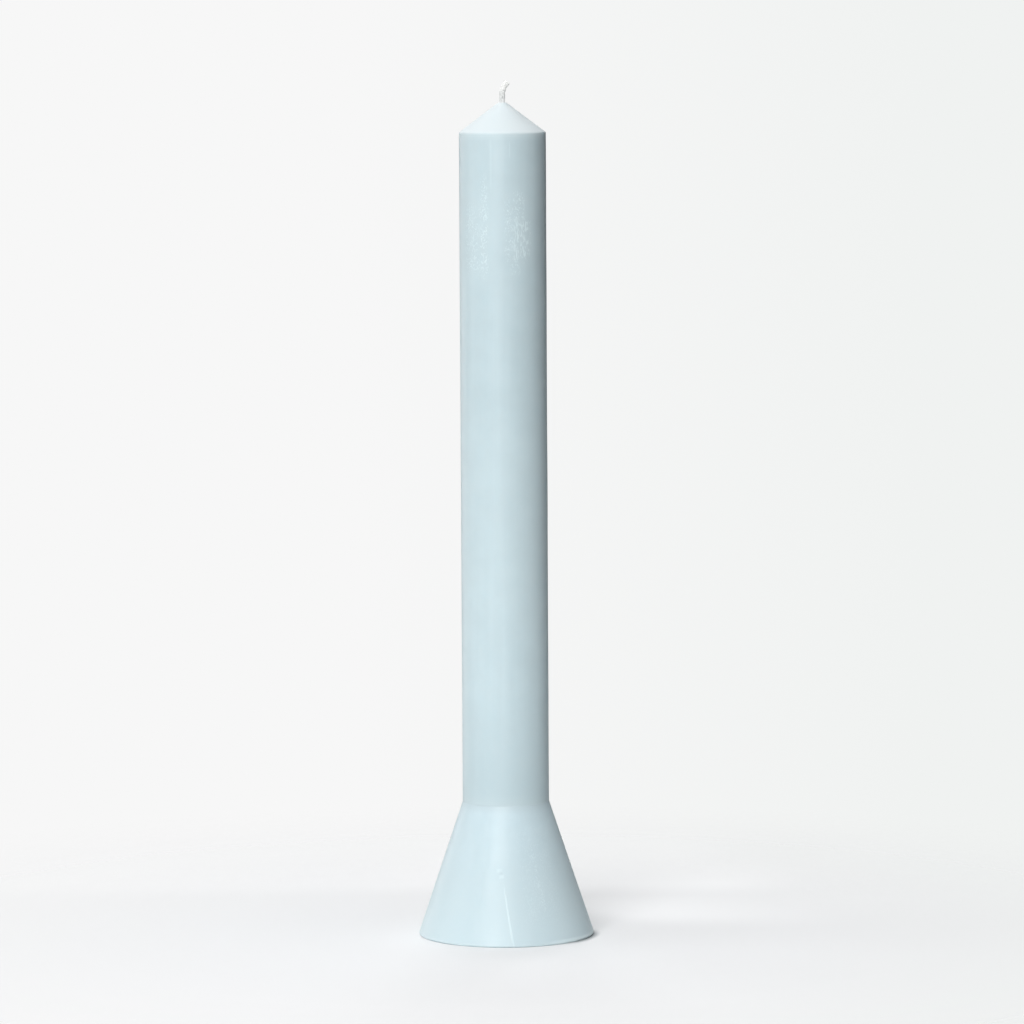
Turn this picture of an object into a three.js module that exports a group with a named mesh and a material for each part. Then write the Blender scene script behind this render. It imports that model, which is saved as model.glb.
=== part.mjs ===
import * as THREE from 'three';

// Altar candle that stands on its own foot. Sizes are in millimetres and angles in degrees, +Z is
// up, and the origin is on the table under the middle of the foot.
// The wax is two pours. The shaft is poured first, tip down. Its lower end sinks to a tapered well
// as it sets, and the foot is poured on to it, with a plug that fills the well. One wick of three
// plaited cotton strands runs through both, from the underside to its curled free end.

// Shaft
const shaftRimRadius = 15;
const shaftTaper = 0.025; // how much wider the shaft is at the foot than at the rim
const shaftLength = 232.55; // from the ring where the foot begins up to the rim
const rimRounding = 0.5;
const tipSlope = 36.95; // rise of the cone above level
const tipLand = 0.4; // flat ring round the wick, where the cone stops

// Foot
const footHeight = 46.8;
const footRadius = 30.7; // where the straight side would meet the table
const footEdgeRounding = 0.55;
const restRingWidth = 5; // flat ring that the candle rests on
const dishDepth = 0.6; // the underside draws in this far inside the ring
const dishSteps = 5;

// Seat of the foot in the shaft
const plugMouthRadius = 8;
const plugTopRadius = 4.5;
const plugHeight = 15;
const plugClearance = 0.3;

// Wick
const strandDiameter = 0.54;
const strandGap = 0.06; // between two strands where they cross
const plaitWidening = 1.7; // sideways swing of a strand for each millimetre of its front to back swing
const plaitPitch = 7; // length in which a strand comes back to the same place
const wickClearance = 0.2; // between the plait and its bore in the wax
const wickUpright = 3.2; // free length that stands straight above the tip
const wickCurlRadius = 5;
const wickCurlAngle = 30;
const wickEndLength = 2; // straight end past the curl

// Fineness of the surfaces
const roundSegments = 84;
const arcSteps = 4;
const strandSides = 5;
const buriedRings = 8; // rings in one pitch inside the wax
const freeRings = 16; // rings in one pitch above it

// Places that follow from the sizes above
const strandRadius = strandDiameter / 2;
const frontSwing = 0.75 * (strandDiameter + strandGap);
const sideSwing = plaitWidening * frontSwing;
const boreRadius = Math.hypot(sideSwing, frontSwing) + strandRadius + wickClearance;
const shaftFootRadius = shaftRimRadius + shaftTaper;
const rimHeight = footHeight + shaftLength;
const tipRadius = boreRadius + tipLand;
const tipHeight = rimHeight + (shaftRimRadius - tipRadius) * Math.tan(THREE.MathUtils.degToRad(tipSlope));
const dishRadius = footRadius - 2 * footEdgeRounding - restRingWidth;
const curlLength = wickCurlRadius * THREE.MathUtils.degToRad(wickCurlAngle);
const curlStart = tipHeight - dishDepth + wickUpright;
const wickLength = curlStart + curlLength + wickEndLength;

// An arc that rounds the corner between two straight sides, as points from one side to the other.
function roundedCorner(before, corner, after, radius) {
  const back = before.clone().sub(corner).normalize();
  const ahead = after.clone().sub(corner).normalize();
  const halfAngle = Math.acos(back.dot(ahead)) / 2;
  const middle = back.clone().add(ahead).normalize();
  const centre = corner.clone().addScaledVector(middle, radius / Math.sin(halfAngle));
  const start = corner.clone().addScaledVector(back, radius / Math.tan(halfAngle));
  const turn = (Math.PI - 2 * halfAngle) * Math.sign(back.cross(ahead));
  const points = [];
  for (let i = 0; i <= arcSteps; i++) {
    points.push(start.clone().rotateAround(centre, (-turn * i) / arcSteps));
  }
  return points;
}

// Revolves a closed outline about the candle's axis. Each corner is [radius, height], with a
// rounding as a third number where it has one, in the order that leaves the wax on the left.
function revolve(corners) {
  const places = corners.map(([radius, height]) => new THREE.Vector2(radius, height));
  const outline = corners.flatMap(([, , rounding], i) => {
    if (!rounding) return [places[i]];
    const before = places[(i + places.length - 1) % places.length];
    return roundedCorner(before, places[i], places[(i + 1) % places.length], rounding);
  });
  const geometry = new THREE.LatheGeometry([...outline, outline[0]], roundSegments);
  return geometry.rotateX(Math.PI / 2);
}

// The shaft: a straight column, a cone tip cut off round the wick, and the well under the plug.
function shaftGeometry() {
  return revolve([
    [boreRadius, footHeight + plugHeight],
    [plugTopRadius, footHeight + plugHeight],
    [plugMouthRadius, footHeight],
    [shaftFootRadius, footHeight],
    [shaftRimRadius, rimHeight, rimRounding],
    [tipRadius, tipHeight],
    [boreRadius, tipHeight],
  ]);
}

// The foot: a cone on a flat rest ring, with a shallow dish inside the ring and the plug on top.
// The plug keeps its clearance on its side and on its end, and the ring round it carries the shaft.
function footGeometry() {
  const dish = [];
  for (let i = 0; i < dishSteps; i++) {
    const radius = THREE.MathUtils.lerp(boreRadius, dishRadius, i / dishSteps);
    dish.push([radius, dishDepth * (1 - (radius / dishRadius) ** 2)]);
  }
  return revolve([
    ...dish,
    [dishRadius, 0],
    [footRadius, 0, footEdgeRounding],
    [shaftFootRadius, footHeight],
    [plugMouthRadius - plugClearance, footHeight],
    [plugTopRadius - plugClearance, footHeight + plugHeight - plugClearance],
    [boreRadius, footHeight + plugHeight - plugClearance],
  ]);
}

// The wick's middle line at a length from its lower end, and the direction of its width there.
// It runs up the axis, stands upright above the tip, and curls over sideways to a straight end.
function wickLine(length) {
  const turned = THREE.MathUtils.clamp(length - curlStart, 0, curlLength) / wickCurlRadius;
  const past = Math.max(length - curlStart - curlLength, 0);
  const upright = Math.min(length, curlStart);
  return {
    sideways: wickCurlRadius * (1 - Math.cos(turned)) + past * Math.sin(turned),
    height: dishDepth + upright + wickCurlRadius * Math.sin(turned) + past * Math.cos(turned),
    turned,
  };
}

// Lengths at which a strand has its rings: both cut ends, and between them an even number in each
// pitch, counted from the strand's own phase so that every crossing and every turn has a ring.
function ringLengths(phase) {
  const coarse = plaitPitch / buriedRings;
  const fine = plaitPitch / freeRings;
  const lengths = [0];
  let next = (1 - phase) * plaitPitch % coarse;
  while (next < wickLength - fine / 2) {
    if (next > fine / 2) lengths.push(next);
    next += next < curlStart - wickUpright ? coarse : fine;
  }
  return [...lengths, wickLength];
}

// One strand of the plait, from 0 to 1 of a pitch out of step with the others. Seen along the wick
// it goes round a flat figure of eight: sideways once and front to back twice in each pitch.
function strandGeometry(phase) {
  const positions = [];
  const faces = [];
  const lengths = ringLengths(phase);
  for (const length of lengths) {
    const line = wickLine(length);
    const angle = 2 * Math.PI * (length / plaitPitch + phase);
    for (let side = 0; side < strandSides; side++) {
      const around = (2 * Math.PI * side) / strandSides;
      const across = sideSwing * Math.sin(angle) + strandRadius * Math.cos(around);
      const depth = frontSwing * Math.sin(2 * angle) + strandRadius * Math.sin(around);
      positions.push(line.sideways + across * Math.cos(line.turned), depth);
      positions.push(line.height - across * Math.sin(line.turned));
    }
  }
  for (let ring = 0; ring + 1 < lengths.length; ring++) {
    for (let side = 0; side < strandSides; side++) {
      const low = ring * strandSides + side;
      const lowNext = ring * strandSides + ((side + 1) % strandSides);
      faces.push(low, lowNext, lowNext + strandSides);
      faces.push(low, lowNext + strandSides, low + strandSides);
    }
  }
  const last = (lengths.length - 1) * strandSides;
  for (let side = 1; side + 1 < strandSides; side++) {
    faces.push(0, side + 1, side);
    faces.push(last, last + side, last + side + 1);
  }
  const geometry = new THREE.BufferGeometry();
  geometry.setAttribute('position', new THREE.Float32BufferAttribute(positions, 3));
  geometry.setIndex(faces);
  return geometry;
}

function piece(name, geometry, color, roughness) {
  geometry.computeVertexNormals();
  const material = new THREE.MeshStandardMaterial({ color, roughness, metalness: 0 });
  const mesh = new THREE.Mesh(geometry, material);
  mesh.name = name;
  return mesh;
}

const candle = new THREE.Group();
candle.add(piece('shaft', shaftGeometry(), '#c8dee6', 0.5));
candle.add(piece('foot', footGeometry(), '#cfe1e8', 0.5));
for (const strand of [1, 2, 3]) {
  candle.add(piece(`wick_strand_${strand}`, strandGeometry((strand - 1) / 3), '#e9e5db', 0.9));
}

export default candle;
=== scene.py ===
# Altar candle that stands on its own foot: two pours of pale blue wax round a plaited cotton wick.
# Sizes are in millimetres and angles in degrees unless a note says otherwise. Azimuth is measured
# round the candle's axis: 0 faces the camera, and it grows towards +X.
import math

import bpy
import numpy as np
from mathutils import Matrix, Vector


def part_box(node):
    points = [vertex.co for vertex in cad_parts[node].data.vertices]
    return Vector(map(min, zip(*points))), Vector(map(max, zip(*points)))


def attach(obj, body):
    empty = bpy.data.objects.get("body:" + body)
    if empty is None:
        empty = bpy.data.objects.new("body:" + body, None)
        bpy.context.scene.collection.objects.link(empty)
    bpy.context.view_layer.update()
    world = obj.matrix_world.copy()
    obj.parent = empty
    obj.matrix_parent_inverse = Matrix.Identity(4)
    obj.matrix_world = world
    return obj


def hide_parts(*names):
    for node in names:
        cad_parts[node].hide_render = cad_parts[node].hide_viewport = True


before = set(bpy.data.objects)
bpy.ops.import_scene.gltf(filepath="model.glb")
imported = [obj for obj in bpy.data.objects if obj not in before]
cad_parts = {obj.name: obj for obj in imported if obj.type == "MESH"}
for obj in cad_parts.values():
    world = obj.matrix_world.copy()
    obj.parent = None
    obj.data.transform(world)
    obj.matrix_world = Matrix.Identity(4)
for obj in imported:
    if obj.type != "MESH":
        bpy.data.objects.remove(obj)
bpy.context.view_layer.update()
mm = 0.001
scene = bpy.context.scene

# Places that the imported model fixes
shaftLow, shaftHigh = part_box("shaft")
seatHeight = shaftLow.z / mm  # the ring where the shaft stands on the foot
tipHeight = shaftHigh.z / mm  # top of the cone
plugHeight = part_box("foot")[1].z / mm  # top of the plug inside the shaft
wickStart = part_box("wick_strand_1")[0].z / mm


# One sRGB hex colour as the linear numbers that Blender's sockets take.
def linearColour(hexText):
    parts = [int(hexText[i:i + 2], 16) / 255 for i in (1, 3, 5)]
    return (*[p / 12.92 if p <= 0.04045 else ((p + 0.055) / 1.055) ** 2.4 for p in parts], 1)


# Sets a node's inputs, by name or by number, to numbers, colours or other nodes' sockets.
def setInputs(tree, node, inputs):
    for name, value in inputs.items():
        if isinstance(value, bpy.types.NodeSocket):
            tree.links.new(value, node.inputs[name])
        else:
            node.inputs[name].default_value = value


# Adds a shader node with its settings and inputs, and returns its outputs.
def addNode(tree, kind, inputs, **settings):
    node = tree.nodes.new("ShaderNode" + kind)
    for name, value in settings.items():
        setattr(node, name, value)
    setInputs(tree, node, inputs)
    return node.outputs


# A region with soft edges: its strength times one smooth step for each edge, which is 0 up to where
# the edge starts and 1 from where it is full. Edges are in the units of their sockets.
def softRegion(tree, strength, *edges):
    for value, start, full in edges:
        step = addNode(tree, "MapRange", {"Value": value, "From Min": start, "From Max": full},
                       interpolation_type="SMOOTHSTEP")["Result"]
        strength = addNode(tree, "Math", {0: strength, 1: step}, operation="MULTIPLY")[0]
    return strength


# 0 below the low value, 1 above the high one, and a smooth step between them.
def smoothStep(low, high, value):
    share = np.clip((value - low) / (high - low), 0, 1)
    return share * share * (3 - 2 * share)


# How far sideways a point lies from a middle azimuth, as an arc in mm.
def sidewaysFrom(middle, azimuth, radius):
    return np.radians((azimuth - middle + 180) % 360 - 180) * radius


# Joins the points of a grid by four-sided faces. Columns run round to the start, and so do rows
# if they are closed. Faces look out when columns run anticlockwise round the axis and rows go up.
def gridFaces(rows, columns, closedRows):
    row, column = np.meshgrid(np.arange(rows - (not closedRows)), np.arange(columns), indexing="ij")
    nextRow, nextColumn = (row + 1) % rows, (column + 1) % columns
    corners = [row * columns + column, row * columns + nextColumn,
               nextRow * columns + nextColumn, nextRow * columns + column]
    return np.stack(corners, -1).reshape(-1, 4)


# Makes a smooth piece of the candle from points in mm, and hides the nodes of the imported model
# that it stands for.
def makePiece(name, points, faces, material, slotName, *nodes):
    mesh = bpy.data.meshes.new(name)
    mesh.from_pydata((points.reshape(-1, 3) * mm).tolist(), [], faces)
    mesh.shade_smooth()
    mesh.materials.append(material)
    piece = bpy.data.objects.new(name, mesh)
    scene.collection.objects.link(piece)
    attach(piece, "root")
    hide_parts(*nodes)
    print(f"{name}: {len(mesh.vertices)} points, {len(mesh.polygons)} faces")


# An outline through corners of (radius, height, rounding, steps). A rounded corner is an arc that
# meets both sides, and the straight side after a corner is cut into that many equal steps.
def roundedOutline(corners, arcSteps=6):
    places = np.array([corner[:2] for corner in corners], float)
    chains = []
    for i, (_, _, rounding, _) in enumerate(corners):
        here = places[i]
        if not rounding:
            chains.append(here[None])
            continue
        back = (places[i - 1] - here) / np.linalg.norm(places[i - 1] - here)
        ahead = (places[i + 1] - here) / np.linalg.norm(places[i + 1] - here)
        half = math.acos(back @ ahead) / 2
        centre = here + (back + ahead) / np.linalg.norm(back + ahead) * rounding / math.sin(half)
        first = here + back * rounding / math.tan(half) - centre
        last = here + ahead * rounding / math.tan(half) - centre
        turn = math.pi - 2 * half
        share = np.linspace(0, 1, arcSteps + 1)[:, None]
        arc = (np.sin((1 - share) * turn) * first + np.sin(share * turn) * last) / math.sin(turn)
        chains.append(centre + arc)
    points = []
    for chain, following, corner in zip(chains, chains[1:], corners):
        side = np.linspace(chain[-1], following[0], corner[3] + 1)
        points += [chain[:-1], side[:-1]]
    return np.concatenate([*points, chains[-1]])


# Revolves a closed outline: each of its points goes round the axis on a circle, and relief, in mm,
# lifts it along the outline's own normal. Azimuths are in degrees.
def revolve(outline, azimuths, relief):
    along = np.roll(outline, -1, 0) - np.roll(outline, 1, 0)
    along /= np.linalg.norm(along, axis=1)[:, None]
    radius, height = outline[:, :1], outline[:, 1:]
    lift = relief(azimuths[None], radius, height)
    radius = radius + along[:, 1:] * lift
    height = height - along[:, :1] * lift
    turn = np.radians(azimuths)[None]
    return np.stack([radius * np.sin(turn), -radius * np.cos(turn), height], -1)


# Sums round bumps and pits: each mark of (azimuth, height, size, rise) is a bell curve in the
# distance along the surface, which falls to a third of its rise at its size.
def sumMarks(marks, azimuth, radius, height):
    lift = 0
    for middle, markHeight, size, rise in marks:
        sideways = sidewaysFrom(middle, azimuth, radius)
        lift = lift + rise * np.exp(-(sideways ** 2 + (height - markHeight) ** 2) / size ** 2)
    return lift


# Slow unevenness of cast wax: a few long waves round and up the piece, with random phases.
def slowWaves(random, azimuth, height, look):
    lift = 0
    for lobes in look["waveLobes"]:
        length, phase = random.uniform(*look["waveLengths"]), random.uniform(0, 2 * math.pi)
        turn = np.radians(lobes * azimuth) + 2 * math.pi * height / length + phase
        lift = lift + look["waveRise"] / len(look["waveLobes"]) * np.cos(turn)
    return lift


# Draw marks of the mould: upright ridges and grooves, each a bell curve across the azimuth that
# fades in and out along its height.
def drawMarks(random, azimuth, radius, height, look):
    lift, rise, soft = 0, look["drawMarkRise"], look["drawMarkFade"]
    for _ in range(look["drawMarks"]):
        middle, width = random.uniform(-180, 180), random.uniform(*look["drawMarkWidths"])
        start, end = np.sort(random.uniform(look["drawMarksFrom"], look["drawMarksTo"], 2))
        fade = smoothStep(start - soft, start + soft, height)
        fade = fade * (1 - smoothStep(end - soft, end + soft, height))
        across = np.exp(-(sidewaysFrom(middle, azimuth, radius) / width) ** 2)
        lift = lift + random.uniform(-rise, rise) * across * fade
    return lift


# Camera, fitted to the photo
cameraLook = {
    "place": (2.65, -1796.5, 303.87),
    "pitch": 4.965,  # below level
    "roll": -0.299,
    "lens": 182.6,
    "sensor": 36,
}


# The camera looks along +Y, tipped down by its pitch and rolled about its line of sight.
def makeCamera(look):
    data = bpy.data.cameras.new("camera")
    data.lens, data.sensor_width = look["lens"], look["sensor"]
    camera = bpy.data.objects.new("camera", data)
    scene.collection.objects.link(camera)
    tilt = Matrix.Rotation(math.radians(90 - look["pitch"]), 4, "X")
    roll = Matrix.Rotation(math.radians(look["roll"]), 4, "Z")
    camera.matrix_world = Matrix.Translation(Vector(look["place"]) * mm) @ tilt @ roll
    scene.camera = camera


makeCamera(cameraLook)
print("camera placed")

# Studio: a pale floor that fades into a pale background, and soft light from the front left
studio = {
    "backLeft": "#f7f7f7",
    "backRight": "#f0f2f1",
    "backTurn": (-0.03, 0.08),  # one becomes the other between these X of the view's direction
    "room": "#f8fdff",
    "roomLight": 0.232,  # what the unseen room sends from straight above
    "roomDark": -1.3,  # lower down it sends less, and would send nothing at this Z of the direction
    "floor": "#f0f0f1",
    "floorRoughness": 0.9,
    "floorGloss": 0.2,
    "grainsPerMetre": 900,
    "grainDepth": 0.2,
    "fadeFrom": 60,  # the floor fades out between these radii
    "fadeTo": 320,
    # soft-edged regions of the floor: an edge says along what, where the region starts, and where
    # it is full
    "paintedContactShadow": "#9a9fa2",  # painted contact shadow, right of the foot where it meets the floor
    "paintedContactShadowEdges": [("radius", 33.4, 30.3), ("right", 18, 29), ("back", 11, -5)],
    "paintedBounce": 0.075,  # painted light: a glow, seen by the camera only, that lightens the floor's shadow round the foot
    "paintedBounceEdges": [("radius", 34, 62), ("radius", 130, 60), ("right", -30, 20)],
    "paintedBounceLeft": [("right", 30, 0)],
    "paintedBounceBehind": [("back", 5, 40)],
    "paintedFarBounce": 0.1,  # the same painted glow on the floor behind the foot
    "paintedFarBounceEdges": [("back", 78, 112), ("radius", 320, 200), ("right", 120, 60)],
    "paintedFarBounceRight": [("right", -60, 30)],
    "paintedFarBounceLeast": 0.4,  # share of it that is left outside this last region
    "lights": [
        {"name": "front", "place": (-450, -1680, 780), "size": 1100, "power": 27.5},
        {"name": "overhead", "place": (0, -150, 1950), "size": 1100, "power": 13.6},
        {"name": "left side", "place": (-1750, -100, 550), "size": 1100, "power": 5},
        {"name": "low behind left", "place": (-1250, 1300, 150), "size": 1100, "power": 4.6},
        {"name": "rear", "place": (0, 1515, 1210), "size": 1100, "power": 8.7},
    ],
}


# The camera sees a flat background. All else is lit by an unseen room, which is brighter above.
def makeWorld(look):
    world = bpy.data.worlds.new("studio")
    world.use_nodes = True
    tree = world.node_tree
    tree.nodes.clear()
    direction = addNode(tree, "TexCoord", {})["Generated"]
    parts = addNode(tree, "SeparateXYZ", {"Vector": direction})
    level = addNode(tree, "MapRange", {
        "Value": parts["Z"], "From Min": look["roomDark"], "From Max": 1,
        "To Max": look["roomLight"]})["Result"]
    room = addNode(tree, "Background", {"Color": linearColour(look["room"]), "Strength": level})
    turnFrom, turnTo = look["backTurn"]
    across = addNode(tree, "MapRange", {
        "Value": parts["X"], "From Min": turnFrom, "From Max": turnTo})["Result"]
    backdrop = addNode(tree, "Mix", {
        0: across, 6: linearColour(look["backLeft"]), 7: linearColour(look["backRight"])},
        data_type="RGBA")[2]
    seen = addNode(tree, "Background", {"Color": backdrop, "Strength": 1})
    ray = addNode(tree, "LightPath", {})["Is Camera Ray"]
    mixed = addNode(tree, "MixShader", {0: ray, 1: room[0], 2: seen[0]})
    addNode(tree, "OutputWorld", {"Surface": mixed[0]})
    scene.world = world


# A card that fades out with its radius, with a painted contact shadow where it meets the foot's
# right edge. A painted glow lightens the floor's shadow round and behind the foot; it shows to the
# camera only and lights nothing.
def makeFloor(look):
    material = bpy.data.materials.new("matte pale card")
    material.use_nodes = True
    tree = material.node_tree
    place = addNode(tree, "TexCoord", {})["Object"]
    parts = addNode(tree, "SeparateXYZ", {"Vector": place})
    radius = addNode(tree, "VectorMath", {0: place}, operation="LENGTH")["Value"]
    places = {"radius": radius, "right": parts["X"], "back": parts["Y"]}

    def region(strength, edges):
        return softRegion(tree, strength, *[
            (places[name], start * mm, full * mm) for name, start, full in edges])

    # painted light: a glow that lightens the floor's shadow round and behind the foot, seen by the
    # camera only
    aside = addNode(tree, "Math", {
        0: region(1, look["paintedBounceLeft"]), 1: region(1, look["paintedBounceBehind"])}, operation="MAXIMUM")
    paintedBounce = addNode(tree, "Math", {
        0: region(look["paintedBounce"], look["paintedBounceEdges"]), 1: aside[0]}, operation="MULTIPLY")
    rightward = addNode(tree, "Mix", {
        0: region(1, look["paintedFarBounceRight"]), 2: look["paintedFarBounceLeast"], 3: 1})
    paintedFarBounce = addNode(tree, "Math", {
        0: region(look["paintedFarBounce"], look["paintedFarBounceEdges"]), 1: rightward[0]},
        operation="MULTIPLY")
    added = addNode(tree, "Math", {0: paintedBounce[0], 1: paintedFarBounce[0]}, operation="ADD")
    seen = addNode(tree, "LightPath", {})["Is Camera Ray"]
    glow = addNode(tree, "Math", {0: added[0], 1: seen}, operation="MULTIPLY")[0]
    # painted contact shadow: the floor's colour darkens towards the foot's right edge
    colour = addNode(tree, "Mix", {
        0: region(1, look["paintedContactShadowEdges"]), 6: linearColour(look["floor"]),
        7: linearColour(look["paintedContactShadow"])}, data_type="RGBA")[2]
    alpha = region(1, [("radius", look["fadeTo"], look["fadeFrom"])])
    grain = addNode(tree, "TexNoise", {
        "Vector": place, "Scale": look["grainsPerMetre"], "Detail": 3})["Fac"]
    bump = addNode(tree, "Bump", {
        "Height": grain, "Strength": 0.3, "Distance": look["grainDepth"] * mm})["Normal"]
    setInputs(tree, tree.nodes["Principled BSDF"], {
        "Base Color": colour, "Roughness": look["floorRoughness"],
        "Specular IOR Level": look["floorGloss"], "Emission Color": (1, 1, 1, 1),
        "Emission Strength": glow, "Alpha": alpha, "Normal": bump})
    # one large triangle round the fade, because an edge in the floor shows as a line at low angles
    turn = np.radians([-90, 30, 150])
    reach = 2.1 * look["fadeTo"] * mm
    corners = reach * np.stack([np.cos(turn), np.sin(turn), 0 * turn], -1)
    mesh = bpy.data.meshes.new("floor")
    mesh.from_pydata(corners.tolist(), [], [[0, 1, 2]])
    mesh.materials.append(material)
    floor = bpy.data.objects.new("floor", mesh)
    scene.collection.objects.link(floor)


# Soft disks of light, all aimed at half the candle's height. The camera doesn't see them.
def makeLights(look):
    target = Vector((0, 0, (tipHeight / 2) * mm))
    for light in look["lights"]:
        data = bpy.data.lights.new(light["name"], "AREA")
        data.shape, data.size, data.energy = "DISK", light["size"] * mm, light["power"]
        lamp = bpy.data.objects.new(light["name"], data)
        scene.collection.objects.link(lamp)
        lamp.location = Vector(light["place"]) * mm
        lamp.rotation_euler = (target - lamp.location).to_track_quat("-Z", "Y").to_euler()
        lamp.visible_camera = False


makeWorld(studio)
makeFloor(studio)
makeLights(studio)
scene.view_settings.view_transform = "Standard"
print("studio lit")

# Wick: three strands of spun cotton in a flat plait
wick = {
    "pitch": 7,  # a strand comes back to the same side
    "sideSwing": 0.33,
    "frontSwing": 0.13,
    "strandHalfWidth": 0.7,  # a strand lies pressed to an oval
    "strandHalfDepth": 0.55,
    "upright": 3.2,
    "curlRadius": 5,
    "curlAngle": 30,
    "endLength": 2,
    "outerThreads": 17,
    "innerThreads": 3,
    "innerReach": 0.36,  # how far out the inner threads lie, as a share of the outer ones
    "threadRadius": 0.125,
    "threadSides": 6,
    "twistPitch": 4.3,
    "wobble": 0.012,  # of a thread's path, as a share of the oval, in waves of random length
    "wobbleLengths": (1.1, 2.3),
    "swelling": 0.07,  # of a thread's radius
    "swellingLengths": (0.5, 1.1),
    "buriedStep": 0.5,  # between a thread's rings inside the wax
    "freeStep": 0.1,  # and above it, from a little below the tip
    "freeFrom": -2,
    "frayLength": 1.5,
    "frayWidening": 0.2,
    "frayShares": (0.2, 1.6),  # each thread's share of that widening
    "frayShortening": 0.45,
    "fibres": 60,  # loose fibres on each strand
    "fibreRadius": 0.01,
    "fibreTaper": 0.6,
    "fibreSides": 3,
    "fibreRings": 6,
    "fibreReaches": (0.12, 0.4),
    "fibreLean": 0.9,  # along the wick, as a share of the reach
    "fibreBend": 0.5,
    "fibreRoot": 0.03,  # how deep it starts in the strand
    "cotton": "#fdfdfb",
    "cottonShade": "#f8f8f5",
    "lintSize": 0.15,
    "lintDepth": 0.02,
    # greyer low part: partly the wax that the cotton drew up, partly painted shade
    "waxedCottonAndShade": "#dfe1e0",
    "waxedAndShaded": 0.85,
    "waxedTo": 2.5,  # above the tip, and from there up it gets drier
    "dryFrom": 6.5,
    "dryRoughness": 0.95,
    "waxedRoughness": 0.5,
}
curlLength = wick["curlRadius"] * math.radians(wick["curlAngle"])
curlStart = tipHeight - wickStart + wick["upright"]
wickLength = curlStart + curlLength + wick["endLength"]


# A strand's place across the wick's width and depth. Seen along the wick it goes round a flat
# figure of eight: sideways once and front to back twice in each pitch.
def plaitPlace(length, phase):
    angle = 2 * np.pi * (length / wick["pitch"] + phase)
    return wick["sideSwing"] * np.sin(angle), wick["frontSwing"] * np.sin(2 * angle)


# Puts points given by length along the wick and by place across it into space. The wick runs up the
# axis, stands upright above the tip, and curls on a circle towards +X to a straight end.
def alongWick(length, across, depth):
    turned = np.clip(length - curlStart, 0, curlLength) / wick["curlRadius"]
    past = np.maximum(length - curlStart - curlLength, 0)
    sideways = wick["curlRadius"] * (1 - np.cos(turned)) + past * np.sin(turned)
    height = wickStart + np.minimum(length, curlStart)
    height = height + wick["curlRadius"] * np.sin(turned) + past * np.cos(turned)
    x = sideways + across * np.cos(turned)
    z = height - across * np.sin(turned)
    return np.stack(np.broadcast_arrays(x, depth, z), -1)


# Round tubes along paths of shape (tubes, rings, 3), with one radius for each ring. Each ring lies
# square to its path, and its flat ends are closed.
def makeTubes(paths, radii, sides):
    tangent = np.gradient(paths, axis=1)
    tangent /= np.linalg.norm(tangent, axis=-1, keepdims=True)
    depth = np.array([0.0, 1.0, 0.0]) - tangent * tangent[..., 1:2]
    depth /= np.linalg.norm(depth, axis=-1, keepdims=True)
    width = np.cross(depth, tangent)
    turn = 2 * np.pi * np.arange(sides) / sides
    ring = np.cos(turn)[:, None] * width[:, :, None] + np.sin(turn)[:, None] * depth[:, :, None]
    points = paths[:, :, None] + radii[:, :, None, None] * ring
    tubes, rings = paths.shape[:2]
    starts = np.arange(tubes)[:, None] * rings * sides
    faces = (starts[..., None] + gridFaces(rings, sides, False)[None]).reshape(-1, 4)
    lowCaps = starts + np.arange(sides)[::-1]
    highCaps = starts + (rings - 1) * sides + np.arange(sides)
    return points.reshape(-1, 3), faces.tolist() + lowCaps.tolist() + highCaps.tolist()


# One strand: threads twisted round the strand's oval, and a few inside it. Near the cut end they
# spread apart and stop at slightly different lengths.
def spinStrand(phase, random):
    freeStart = tipHeight - wickStart + wick["freeFrom"]
    buried = np.arange(0, freeStart, wick["buriedStep"])
    free = np.arange(freeStart, wickLength, wick["freeStep"])
    length = np.concatenate([buried, free, [wickLength]])[None]
    outer, inner = wick["outerThreads"], wick["innerThreads"]
    place = np.concatenate([np.arange(outer) / outer, np.arange(inner) / inner])[:, None]
    reach = np.concatenate([np.ones(outer), wick["innerReach"] * np.ones(inner)])[:, None]
    fray = smoothStep(wickLength - wick["frayLength"], wickLength, length)
    length = length - fray * random.uniform(0, wick["frayShortening"], place.shape)
    turn = 2 * np.pi * (place + length / wick["twistPitch"] + phase)
    spread = 1 + fray * wick["frayWidening"] * random.uniform(*wick["frayShares"], place.shape)
    wobbleLength = random.uniform(*wick["wobbleLengths"], place.shape)
    wobble = wick["wobble"] * np.sin(2 * np.pi * length / wobbleLength + 9 * place)
    across, depth = plaitPlace(length, phase)
    oval = reach * spread + wobble
    across = across + oval * (wick["strandHalfWidth"] - wick["threadRadius"]) * np.cos(turn)
    depth = depth + oval * (wick["strandHalfDepth"] - wick["threadRadius"]) * np.sin(turn)
    swellingLength = random.uniform(*wick["swellingLengths"], place.shape)
    swelling = wick["swelling"] * np.sin(2 * np.pi * length / swellingLength + 20 * place)
    radii = wick["threadRadius"] * (1 + swelling)
    return makeTubes(alongWick(length, across, depth), radii, wick["threadSides"])


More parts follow.
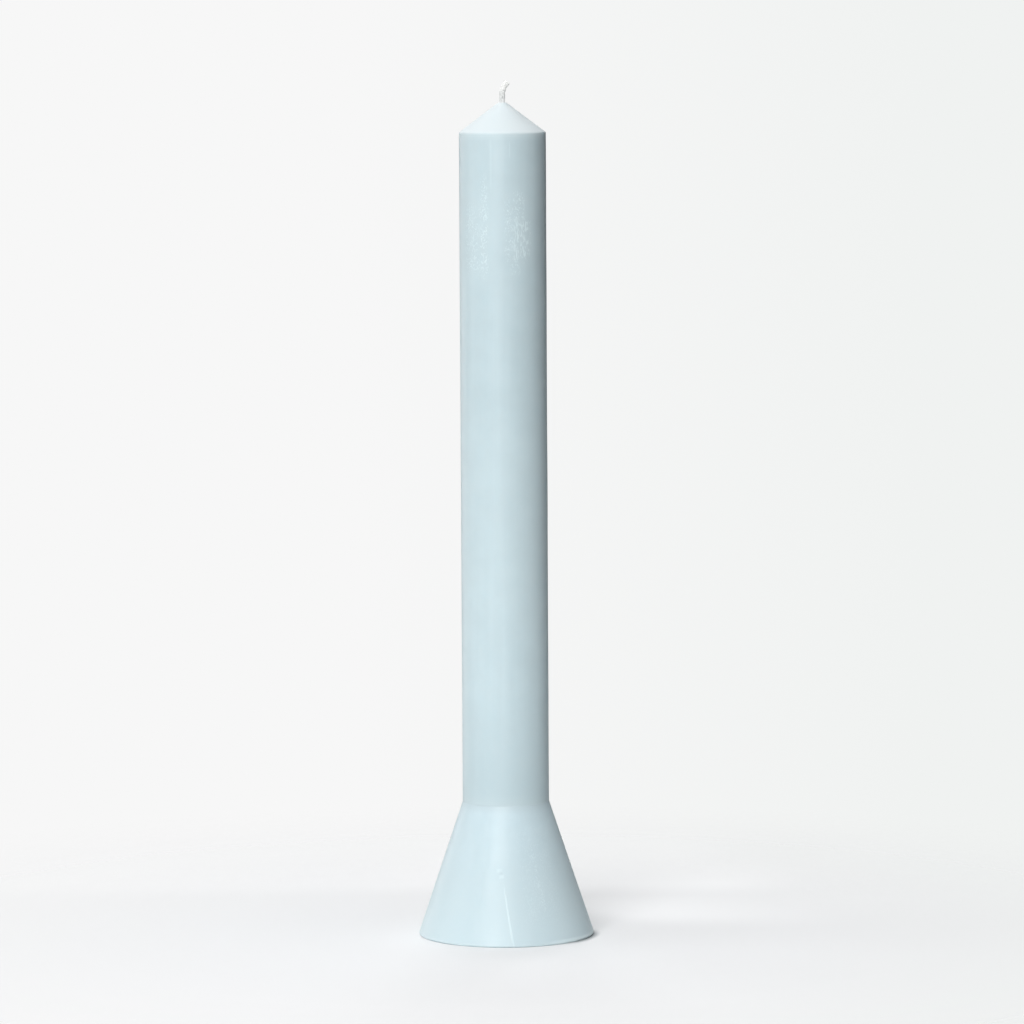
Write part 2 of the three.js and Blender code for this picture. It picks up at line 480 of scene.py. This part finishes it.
# Loose fibres: each leaves the strand's outside, points outwards and along it, and bends on a
# parabola. There are few and they are thicker than real lint, so that they still show.
def looseFibres(phase, random):
    count, mostLean, mostBend = wick["fibres"], wick["fibreLean"], wick["fibreBend"]
    start = random.uniform(tipHeight - wickStart + 0.5, wickLength - 0.1, (count, 1))
    turn = random.uniform(0, 2 * np.pi, (count, 1))
    reach = random.uniform(*wick["fibreReaches"], (count, 1))
    lean = random.uniform(-mostLean, mostLean, (count, 1))
    bend = random.uniform(-mostBend, mostBend, (count, 2))
    share = np.linspace(0, 1, wick["fibreRings"])[None]
    across, depth = plaitPlace(start, phase)
    outwards = reach * share
    across = across + (wick["strandHalfWidth"] - wick["fibreRoot"]) * np.cos(turn)
    depth = depth + (wick["strandHalfDepth"] - wick["fibreRoot"]) * np.sin(turn)
    across = across + outwards * np.cos(turn) + reach * bend[:, :1] * share ** 2
    depth = depth + outwards * np.sin(turn) + reach * bend[:, 1:] * share ** 2
    length = np.minimum(start + lean * outwards, wickLength)
    radii = wick["fibreRadius"] * (1 - wick["fibreTaper"] * share) * np.ones((count, 1))
    return makeTubes(alongWick(length, across, depth), radii, wick["fibreSides"])


# Bleached plaited cotton, spun soft: matte, warm white and a little fuzzy. Its lowest part has
# drawn up wax, which closes the gaps between the fibres. It is greyer there, partly from the wax
# and partly as painted shade.
def bleachedCotton():
    material = bpy.data.materials.new("bleached plaited cotton")
    material.use_nodes = True
    tree = material.node_tree
    place = addNode(tree, "TexCoord", {})["Object"]
    height = addNode(tree, "SeparateXYZ", {"Vector": place})["Z"]
    lint = addNode(tree, "TexNoise", {
        "Vector": place, "Scale": 1 / (wick["lintSize"] * mm), "Detail": 3})["Fac"]
    shade = addNode(tree, "MapRange", {"Value": lint, "From Min": 0.35, "From Max": 0.65})
    dry = addNode(tree, "Mix", {
        0: shade["Result"], 6: linearColour(wick["cottonShade"]), 7: linearColour(wick["cotton"])},
        data_type="RGBA")[2]
    waxedAndShaded = softRegion(tree, wick["waxedAndShaded"], (
        height, (tipHeight + wick["dryFrom"]) * mm, (tipHeight + wick["waxedTo"]) * mm))
    colour = addNode(tree, "Mix", {0: waxedAndShaded, 6: dry, 7: linearColour(wick["waxedCottonAndShade"])},
                     data_type="RGBA")[2]
    roughness = addNode(tree, "MapRange", {
        "Value": waxedAndShaded, "To Min": wick["dryRoughness"], "To Max": wick["waxedRoughness"]})
    bump = addNode(tree, "Bump", {
        "Height": lint, "Strength": 0.4, "Distance": wick["lintDepth"] * mm})
    setInputs(tree, tree.nodes["Principled BSDF"], {
        "Base Color": colour, "Roughness": roughness["Result"], "IOR": 1.53,
        "Specular IOR Level": 0.3, "Sheen Weight": 0.05, "Sheen Roughness": 0.6,
        "Normal": bump["Normal"]})
    return material


cotton = bleachedCotton()
for strand in (1, 2, 3):
    seeded = np.random.default_rng(40 + strand)
    threadPoints, threadFaces = spinStrand((strand - 1) / 3, seeded)
    fibrePoints, fibreFaces = looseFibres((strand - 1) / 3, seeded)
    shifted = [[corner + len(threadPoints) for corner in face] for face in fibreFaces]
    makePiece(f"wick_strand_{strand}_spun", np.concatenate([threadPoints, fibrePoints]),
              threadFaces + shifted, cotton, "wick_cotton", f"wick_strand_{strand}")

# Bore of the wick in both pours
bore = {
    "radius": 1.358,
    "pressedRadius": 1.1,  # near an open end, before it is pressed to the plait
    "pressedDepth": 3,  # it keeps the plait's shape down to this depth, and is round from the next
    "roundDepth": 6,
    "clearance": 0.03,
    "wallRadius": 1.4,  # only points nearer to the axis than this are pressed
}


# How far the plait reaches from the axis at a height, towards each azimuth: the widest of its three
# ovals, each measured to the line that touches it square to that direction.
def plaitReach(azimuth, height):
    right, front = np.sin(np.radians(azimuth)), np.cos(np.radians(azimuth))
    oval = np.hypot(wick["strandHalfWidth"] * right, wick["strandHalfDepth"] * front)
    reaches = []
    for phase in (0, 1 / 3, 2 / 3):
        across, depth = plaitPlace(height - wickStart, phase)
        reaches.append(across * right - depth * front + oval)
    return np.maximum.reduce(reaches)


# Presses the bore to the plait's own shape near an open end: each point of its wall moves out or in
# to the plait's reach and a thin clearance. Inwards is 1 from the top end and -1 from the low one.
def pressBore(points, azimuths, openHeight, inwards):
    height = points[:, :1, 2]
    radius = np.hypot(points[..., 0], points[..., 1])
    depth = (openHeight - height) * inwards
    near = 1 - smoothStep(bore["pressedDepth"], bore["roundDepth"], depth)
    wall = near * (radius < bore["wallRadius"]) * (depth > -1)
    reach = plaitReach(azimuths[None], np.clip(height, wickStart, tipHeight + 1))
    scale = 1 + wall * ((reach + bore["clearance"]) / radius - 1)
    return points * np.stack([scale, scale, np.ones_like(scale)], -1)


# Shaft: a column with a cone tip, and a well in its low end. Each mark is (azimuth, height, size,
# rise).
shaft = {
    "footRadius": 15.025,
    "rimRadius": 15,
    "rimHeight": 279.35,
    "rimRounding": 0.7,
    "wellMouthRadius": 8,
    "wellTopRadius": 4.5,
    "wellHeight": 61.8,
    "collarRadius": 1.6,  # where the wax climbs the wick
    "collarTopRadius": 1.24,
    "collarRise": 0.2,
    "seatEdge": 0.06,  # short sides that keep the seat's edge crisp, also on the foot
    "fineHeight": 226,  # the rows lie closer above this height, for the small marks there
    "columns": 320,
    "waveLobes": (1, 2, 2, 3, 4, 5),
    "waveLengths": (35, 120),
    "waveRise": 0.05,
    "drawMarks": 26,
    "drawMarksFrom": seatHeight,
    "drawMarksTo": 279,
    "drawMarkRise": 0.02,
    "drawMarkWidths": (0.25, 0.7),
    "drawMarkFade": 6,
    "marks": [(15.8, 257.9, 0.45, 0.05), (22.7, 257.9, 0.45, 0.05), (10.1, 277.4, 0.5, 0.04)],
    "ringHeight": 286.2,  # a faint ring on the cone, which fades out between two azimuths
    "ringWidth": 0.25,
    "ringRise": 0.035,
    "ringFade": (-130, -60),
}


# The shaft's relief in mm: waves, draw marks, small bumps and the ring, on the outside only.
def shaftRelief(azimuth, radius, height):
    random = np.random.default_rng(7)
    outside = smoothStep(2.5, 5, radius) * smoothStep(seatHeight - 0.1, seatHeight + 0.1, height)
    inWell = (radius < shaft["wellMouthRadius"] + 1) & (height < shaft["wellHeight"] + 2)
    lift = slowWaves(random, azimuth, height, shaft)
    lift = lift + drawMarks(random, azimuth, radius, height, shaft)
    lift = lift + sumMarks(shaft["marks"], azimuth, radius, height)
    ring = np.exp(-((height - shaft["ringHeight"]) / shaft["ringWidth"]) ** 2)
    lift = lift + shaft["ringRise"] * ring * smoothStep(*shaft["ringFade"], azimuth)
    return outside * ~inWell * lift


# The shaft's outline goes out along the well's end, down its wall and out over the seat, then up
# the side, in along the cone to the collar, and down the bore.
def makeShaft(material):
    edge, collarLow = shaft["seatEdge"], tipHeight + 0.1
    outline = roundedOutline([
        (bore["radius"], shaft["wellHeight"], 0, 4),
        (shaft["wellTopRadius"], shaft["wellHeight"], 0.3, 12),
        (shaft["wellMouthRadius"], seatHeight, 0.1, 8),
        (shaft["footRadius"] - edge, seatHeight, 0, 1),
        (shaft["footRadius"], seatHeight, 0, 1),
        (shaft["footRadius"], seatHeight + edge, 0, 44),
        (shaft["footRadius"] - 0.02, shaft["fineHeight"], 0, 150),
        (shaft["rimRadius"], shaft["rimHeight"], shaft["rimRounding"], 22),
        (shaft["collarRadius"], collarLow, 0.4, 2),
        (shaft["collarTopRadius"], collarLow + shaft["collarRise"], 0.03, 1),
        (bore["pressedRadius"], tipHeight + 0.05 + shaft["collarRise"], 0.03, 16),
        (bore["pressedRadius"], tipHeight - 4, 0, 4),
        (bore["radius"], tipHeight - 6, 0, 3),
        (bore["radius"], shaft["wellHeight"] + 1, 0, 1),
    ])
    azimuths = np.linspace(-180, 180, shaft["columns"], endpoint=False)
    points = pressBore(revolve(outline, azimuths, shaftRelief), azimuths, tipHeight, 1)
    faces = gridFaces(len(outline), len(azimuths), True).tolist()
    makePiece("shaft_cast_wax", points, faces, material, "shaft_wax", "shaft")


# Foot: a cone on a rest ring with a shallow dish inside it, and the plug on top
foot = {
    "radius": 30.7,
    "edgeRounding": 0.65,
    "dishRadius": 24.6,
    "dishDepth": 0.6,
    "plugMouthRadius": 7.7,
    "plugTopRadius": 4.2,
    "columns": 470,
    "fineColumns": 82,  # extra ones round the slanted ridge and the marks above it
    "fineAzimuths": (-9, 7),
    "fineHeights": (20, 28),  # closer rows
    "waveLobes": (1, 2, 2, 3, 4, 5),
    "waveLengths": (35, 120),
    "waveRise": 0.09,
    "drawMarks": 18,
    "drawMarksFrom": 0,
    "drawMarksTo": seatHeight,
    "drawMarkRise": 0.02,
    "drawMarkWidths": (0.25, 0.7),
    "drawMarkFade": 6,
    "ridgeAzimuth": -1.6,  # of the slanted ridge at its top, from where it turns to +X downwards
    "ridgeTop": 19.6,
    "ridgeTurn": 5.6,
    "ridgeLength": 18.3,
    "ridgeRise": 0.075,
    "ridgeWidth": 0.2,
    "ridgeFade": (18, 23),
    "marks": [
        (-3.6, 24.3, 0.6, -0.13),
        (-5.8, 25.5, 0.65, 0.08),
        (-4.9, 23, 0.5, 0.04),
        (29.2, 9.1, 0.5, 0.06),
        (-38.3, 5.2, 0.45, -0.06),
        (-55.1, 4.6, 0.45, -0.06),
    ],
    "dots": 8,  # small bumps in a slanted row on the right, each a step on in azimuth and height
    "dotFirst": (25.5, 35),
    "dotStep": (0.65, -3.2),
    "dotSize": 0.5,
    "dotRise": 0.07,
    "bumps": 40,  # small bumps and pits anywhere
    "bumpHeights": (2, 45),
    "bumpSizes": (0.4, 0.8),
    "bumpRises": (-0.05, 0.03),
}


# The foot's relief in mm: waves, draw marks, the slanted ridge, bumps and pits, outside only.
def footRelief(azimuth, radius, height):
    random = np.random.default_rng(19)
    outside = smoothStep(0.2, 2.5, height) * smoothStep(14, 15.2, radius)
    lift = slowWaves(random, azimuth, height, foot)
    lift = lift + drawMarks(random, azimuth, radius, height, foot)
    ridgeTurned = foot["ridgeTurn"] * (foot["ridgeTop"] - height) / foot["ridgeLength"]
    ridgeMiddle = foot["ridgeAzimuth"] + ridgeTurned
    ridgeAcross = sidewaysFrom(ridgeMiddle, azimuth, radius) / foot["ridgeWidth"]
    ridgeFade = 1 - smoothStep(*foot["ridgeFade"], height)
    lift = lift + foot["ridgeRise"] * ridgeFade * np.exp(-ridgeAcross ** 2)
    marks = list(foot["marks"])
    (firstAzimuth, firstHeight), (turnStep, heightStep) = foot["dotFirst"], foot["dotStep"]
    for i in range(foot["dots"]):
        dotAzimuth = firstAzimuth + turnStep * i + 0.5 * math.sin(9 * i)  # a little out of line
        marks.append((dotAzimuth, firstHeight + heightStep * i, foot["dotSize"], foot["dotRise"]))
    for _ in range(foot["bumps"]):
        marks.append((random.uniform(-180, 180), random.uniform(*foot["bumpHeights"]),
                      random.uniform(*foot["bumpSizes"]), random.uniform(*foot["bumpRises"])))
    return outside * (lift + sumMarks(marks, azimuth, radius, height))


# The foot's outline goes out along the dish and the rest ring and up the side, then in over the
# seat, up the plug, and down the bore.
def makeFoot(material):
    dishRadii = np.linspace(bore["pressedRadius"], foot["dishRadius"], 16)
    dishHeights = foot["dishDepth"] * (1 - (dishRadii / foot["dishRadius"]) ** 2)
    lean = (foot["radius"] - shaft["footRadius"]) / seatHeight  # inwards for each mm up
    edge, (fineLow, fineHigh) = shaft["seatEdge"], foot["fineHeights"]
    side = roundedOutline([
        (foot["dishRadius"], 0, 0, 6),
        (foot["radius"], 0, foot["edgeRounding"], 32),
        (foot["radius"] - fineLow * lean, fineLow, 0, 28),
        (foot["radius"] - fineHigh * lean, fineHigh, 0, 30),
        (shaft["footRadius"] + edge * lean, seatHeight - edge, 0, 1),
        (shaft["footRadius"], seatHeight, 0, 1),
        (shaft["footRadius"] - edge, seatHeight, 0, 7),
        (foot["plugMouthRadius"], seatHeight, 0.2, 12),
        (foot["plugTopRadius"], plugHeight, 0.4, 3),
        (bore["radius"], plugHeight, 0, 8),
        (bore["radius"], 6, 0, 4),
        (bore["pressedRadius"], 4, 0, 10),
        (bore["pressedRadius"], 1, 0, 1),
    ])
    outline = np.concatenate([np.stack([dishRadii, dishHeights], -1)[:-1], side])
    coarse = np.linspace(-180, 180, foot["columns"], endpoint=False)
    fineFrom, fineTo = foot["fineAzimuths"]
    coarse = coarse[(coarse < fineFrom - 0.3) | (coarse > fineTo + 0.3)]
    fine = np.linspace(fineFrom, fineTo, foot["fineColumns"])
    azimuths = np.sort(np.concatenate([coarse, fine]))
    points = pressBore(revolve(outline, azimuths, footRelief), azimuths, 0, -1)
    faces = gridFaces(len(outline), len(azimuths), True).tolist()
    makePiece("foot_cast_wax", points, faces, material, "foot_wax", "foot")


# Looks of the two pours. Each patch, of frost or, where its comment says so, of painted light, is
# (azimuth of its middle, half its width, lowest and highest, lean in degrees for each millimetre
# up, pattern, strength). With half a width of 450 degrees it goes all round without fading.
shaftLook = {
    "pale": "#d2e3e8",
    "deep": "#cedfe4",
    "tipPaintedLight": "#d6dfe2",  # painted light: the brightly lit cone is drawn greyer and less blue, down to a little below the rim, which softens the step in light there
    "tipPaintedLightFull": shaft["rimHeight"] + 0.5,
    "tipPaintedLightHalf": shaft["rimHeight"] - 1,
    "tipPaintedLightEnd": shaft["rimHeight"] - 2.8,
    "tipRoughness": 0.3,  # how much rougher it is there
    "tipPaintedLightWaviness": 3,
    "lowPaintedShade": "#c3d4d9",  # painted shade: darker towards the shaft's lower end, near the foot
    "lowPaintedShadeEnd": 95,
    "lowPaintedShadeFull": seatHeight - 7,
    "cloudSize": 9,
    "streakWidth": 2.2,
    "roughness": 0.42,
    "frostAndPaintedLight": "#e2f2f6",
    "patches": [
        (-25.5, 7, 231, 262, 0, "flecks", 1.2),
        (-44, 17, 231, 254, 0, "flecks", 0.85),
        (-34, 22, 228, 258, 0, "plain", 0.1),
        (9, 8, 236, 256, 0, "flecks", 0.8),
        (26.5, 15, 236, 249.5, 0, "ridges", 1.4),
        (17, 8, 231, 237, 0, "flecks", 0.8),
        (21, 10, 249, 259, 0, "flecks", 1.1),
        (26, 20, 233, 262, 0, "plain", 0.12),
        # painted light: a paler band round the middle of the shaft
        (0, 450, 108, 180, 0, "plain", 0.12),
        (-15.8, 1.6, 260, 278, 0, "plain", 0.22),
        (9.4, 0.9, 271, 276, 0, "plain", 0.3),
        (0, 450, 278.6, 279, 0, "plain", 0.4),  # painted light under the rim, where light from the lit cone spills over the edge; also the next two
        (0, 450, 277.8, 279, 0, "plain", 0.27),
        (0, 450, 276.9, 279, 0, "plain", 0.15),
        (112, 24, 228, 262, 0, "flecks", 0.8),
        (-140, 26, 236, 258, 0, "ridges", 0.7),
        (-104, 14, 240, 264, 0, "flecks", 0.8),
    ],
}
footLook = {
    "pale": "#cbdce2",
    "deep": "#c7d8de",
    "seatPaintedShade": "#c2d3d9",  # painted shade in the corner under the shaft, on the foot's top
    "seatPaintedShadeDepth": 3.2,
    "lowPaintedShade": "#c6d6db",  # painted shade: darker towards the foot's lower part
    "lowPaintedShadeEnd": 44,
    "lowPaintedShadeFull": 14,
    "cloudSize": 6,
    "streakWidth": 2.6,
    "roughness": 0.45,
    "frostAndPaintedLight": "#e4f2f5",
    "patches": [
        # painted highlight on the upper front of the foot
        (-7, 11, 34, 60, 0, "plain", 0.04),
        (4.924, 0.7, 1, 19, -0.32, "plain", 0.5),  # along the slanted ridge
        # painted highlight: two pale spots on the lit edges of the pit at -3.6 degrees, 24.3 mm
        (-6, 3, 24.9, 26.1, 0, "plain", 0.22),
        (-4, 2.4, 22.9, 24, 0, "plain", 0.32),
        (30, 22, 8, 40, 0, "flecks", 0.16),
        (32.9, 2.6, 11, 36, -0.22, "flecks", 0.35),
        (62, 34, 0.2, 1.6, 0, "plain", 0.45),  # painted light: a pale strip on the right of the lower edge, where its rounding catches light from the floor
        (118, 6, 28, 60, 0, "plain", 0.25),
        (-150, 0.7, 3, 22, 0.2, "plain", 0.35),
    ],
}

# Frost on wax: pale crystals that grew where the wax left the mould unevenly. Some plain patches of
# the same colour are painted light. Each pattern is a noise of its size, and shows where the noise
# is above its start, fully from where it is full.
frostAndPaintedLight = {
    "fleckSize": 0.4,
    "fleckSlant": 12,
    "fleckStretch": 0.55,  # below 1 the pattern is drawn out upright
    "fleckEdge": (0.48, 0.64),
    "ridgeSize": 0.38,
    "ridgeStretch": 0.22,
    "ridgeBend": 0.6,
    "ridgeEdge": (0.46, 0.6),
    "tuftSize": 1.7,  # flecks and ridges stand in tufts
    "tuftEdge": (0.3, 0.56),
    "sideFade": (1.2, 0.4),  # of a patch, as shares of its half width
    "endFade": 0.2,  # as a share of its height
    "leastEndFade": 0.35,
}


# The frost and painted light of all patches together, as a socket. It shows as short slanting
# flecks under a millimetre long, as wormy upright ridges, or as a plain pale patch.
def frostAndPaintedLightOn(tree, place, patches):
    parts = addNode(tree, "SeparateXYZ", {"Vector": place})
    front = addNode(tree, "Math", {0: parts["Y"], 1: -1}, operation="MULTIPLY")[0]
    azimuth = addNode(tree, "Math", {0: parts["X"], 1: front}, operation="ARCTAN2")[0]
    slanted = addNode(tree, "Mapping", {
        "Vector": place, "Rotation": (0, math.radians(frostAndPaintedLight["fleckSlant"]), 0),
        "Scale": (1, 1, frostAndPaintedLight["fleckStretch"])})[0]
    grains = addNode(tree, "TexNoise", {
        "Vector": slanted, "Scale": 1 / (frostAndPaintedLight["fleckSize"] * mm), "Detail": 1})["Fac"]
    upright = addNode(tree, "Mapping", {
        "Vector": place, "Scale": (1, 1, frostAndPaintedLight["ridgeStretch"])})[0]
    waves = addNode(tree, "TexNoise", {
        "Vector": upright, "Scale": 1 / (frostAndPaintedLight["ridgeSize"] * mm), "Detail": 0,
        "Distortion": frostAndPaintedLight["ridgeBend"]})["Fac"]
    tufts = addNode(tree, "TexNoise", {
        "Vector": place, "Scale": 1 / (frostAndPaintedLight["tuftSize"] * mm), "Detail": 2})["Fac"]
    cluster = softRegion(tree, 1, (tufts, *frostAndPaintedLight["tuftEdge"]))
    patterns = {
        "flecks": softRegion(tree, cluster, (grains, *frostAndPaintedLight["fleckEdge"])),
        "ridges": softRegion(tree, cluster, (waves, *frostAndPaintedLight["ridgeEdge"])),
        "plain": 1,
    }
    total = 0
    for middle, halfWidth, low, high, lean, pattern, strength in patches:
        unleant = addNode(tree, "Math", {
            0: parts["Z"], 1: math.radians(-lean) / mm, 2: azimuth}, operation="MULTIPLY_ADD")[0]
        offset = addNode(tree, "Math", {
            0: unleant, 1: math.radians(middle)}, operation="SUBTRACT")[0]
        distance = addNode(tree, "Math", {0: offset}, operation="ABSOLUTE")[0]
        fade = max((high - low) * frostAndPaintedLight["endFade"], frostAndPaintedLight["leastEndFade"])
        sideways = [math.radians(halfWidth * share) for share in frostAndPaintedLight["sideFade"]]
        inside = softRegion(tree, strength, (distance, *sideways),
                            (parts["Z"], (low - fade) * mm, (low + fade) * mm),
                            (parts["Z"], (high + fade) * mm, (high - fade) * mm))
        patch = addNode(tree, "Math", {0: inside, 1: patterns[pattern]}, operation="MULTIPLY")[0]
        total = addNode(tree, "Math", {0: total, 1: patch}, operation="MAXIMUM")[0]
    return total


# What both pours share
wax = {
    "cloudEdge": (0.36, 0.64),
    "streakShare": 0.33,  # of the streaks in the colour, the rest is clouds
    "streakStretch": 0.035,
    "roughnessSwing": 0.06,
    "fineSize": 0.6,
    "fineShare": 0.15,
    "reliefDepth": 0.12,
    "frostRelief": 0.3,
    "frostRoughness": 0.2,
    "glow": 0.85,  # share of the light that goes through the wax
    "frostGlow": 0.2,
    "glowReach": 1.8,
    "seatClear": (0.3, 3),  # no light goes through near the seat, or the joint would not show
}


# Stearin wax, dyed pale blue and cast in a smooth mould: satin, slightly see-through at its edges,
# with soft clouds where it crystallised unevenly and faint upright streaks from the mould.
def castStearin(name, look):
    material = bpy.data.materials.new(name)
    material.use_nodes = True
    tree = material.node_tree
    place = addNode(tree, "TexCoord", {})["Object"]
    height = addNode(tree, "SeparateXYZ", {"Vector": place})["Z"]
    clouds = addNode(tree, "TexNoise", {
        "Vector": place, "Scale": 1 / (look["cloudSize"] * mm), "Detail": 4,
        "Roughness": 0.55})["Fac"]
    drawn = addNode(tree, "Mapping", {"Vector": place, "Scale": (1, 1, wax["streakStretch"])})[0]
    streaks = addNode(tree, "TexNoise", {
        "Vector": drawn, "Scale": 1 / (look["streakWidth"] * mm), "Detail": 2})["Fac"]
    fine = addNode(tree, "TexNoise", {
        "Vector": place, "Scale": 1 / (wax["fineSize"] * mm), "Detail": 3})["Fac"]
    both = addNode(tree, "Mix", {0: wax["streakShare"], 2: clouds, 3: streaks})[0]
    cloudFrom, cloudTo = wax["cloudEdge"]
    shade = addNode(tree, "MapRange", {
        "Value": both, "From Min": cloudFrom, "From Max": cloudTo})["Result"]
    roughness = addNode(tree, "MapRange", {
        "Value": streaks, "From Min": 0.3, "From Max": 0.7,
        "To Min": look["roughness"] - wax["roughnessSwing"],
        "To Max": look["roughness"] + wax["roughnessSwing"]})["Result"]
    colour = linearColour(look["deep"])
    tints = [(shade, look["pale"])]  # each share of a colour covers what is before it
    # painted light on the lit cone, fading out a little below the rim
    if "tipPaintedLight" in look:
        uneven = addNode(tree, "Math", {0: clouds, 1: 0.5}, operation="SUBTRACT")[0]
        wavy = addNode(tree, "Math", {
            0: uneven, 1: look["tipPaintedLightWaviness"] * mm, 2: height}, operation="MULTIPLY_ADD")[0]
        full = look["tipPaintedLightFull"] * mm
        sharp = softRegion(tree, 0.5, (height, look["tipPaintedLightHalf"] * mm, full))
        soft = softRegion(tree, 0.5, (wavy, look["tipPaintedLightEnd"] * mm, full))
        tip = addNode(tree, "Math", {0: sharp, 1: soft}, operation="ADD")[0]
        tints.append((tip, look["tipPaintedLight"]))
        roughness = addNode(tree, "Math", {0: tip, 1: look["tipRoughness"], 2: roughness},
                            operation="MULTIPLY_ADD")[0]
    # painted shade, darker towards the lower end
    lowEdge = (height, look["lowPaintedShadeEnd"] * mm, look["lowPaintedShadeFull"] * mm)
    tints.append((softRegion(tree, 1, lowEdge), look["lowPaintedShade"]))
    # painted shade on the foot's top, in the corner under the shaft
    if "seatPaintedShade" in look:
        seatEdge = (height, (seatHeight - look["seatPaintedShadeDepth"]) * mm, seatHeight * mm)
        tints.append((softRegion(tree, 1, seatEdge), look["seatPaintedShade"]))
    # frost, and the patches of painted light that share its colour
    frostedAndPainted = frostAndPaintedLightOn(tree, place, look["patches"])
    tints.append((frostedAndPainted, look["frostAndPaintedLight"]))
    for share, tint in tints:
        colour = addNode(tree, "Mix", {0: share, 6: colour, 7: linearColour(tint)},
                         data_type="RGBA")[2]
    rougher = addNode(tree, "Math", {
        0: frostedAndPainted, 1: wax["frostRoughness"], 2: roughness}, operation="MULTIPLY_ADD")[0]
    mixed = addNode(tree, "Mix", {0: wax["fineShare"], 2: both, 3: fine})[0]
    relief = addNode(tree, "Math", {
        0: frostedAndPainted, 1: wax["frostRelief"], 2: mixed}, operation="MULTIPLY_ADD")[0]
    bump = addNode(tree, "Bump", {
        "Height": relief, "Strength": 0.4, "Distance": wax["reliefDepth"] * mm})["Normal"]
    fromSeat = addNode(tree, "Math", {0: height, 1: seatHeight * mm}, operation="SUBTRACT")[0]
    apart = addNode(tree, "Math", {0: fromSeat}, operation="ABSOLUTE")[0]
    glow = softRegion(tree, wax["glow"], (apart, *[edge * mm for edge in wax["seatClear"]]))
    depth = addNode(tree, "MapRange", {
        "Value": frostedAndPainted, "To Min": glow, "To Max": wax["frostGlow"]})["Result"]
    setInputs(tree, tree.nodes["Principled BSDF"], {
        "Base Color": colour, "Roughness": rougher, "IOR": 1.44, "Subsurface Weight": depth,
        "Subsurface Radius": (1, 1, 1), "Subsurface Scale": wax["glowReach"] * mm,
        "Normal": bump})
    return material


makeShaft(castStearin("cast blue stearin", shaftLook))
makeFoot(castStearin("cast blue stearin, foot", footLook))
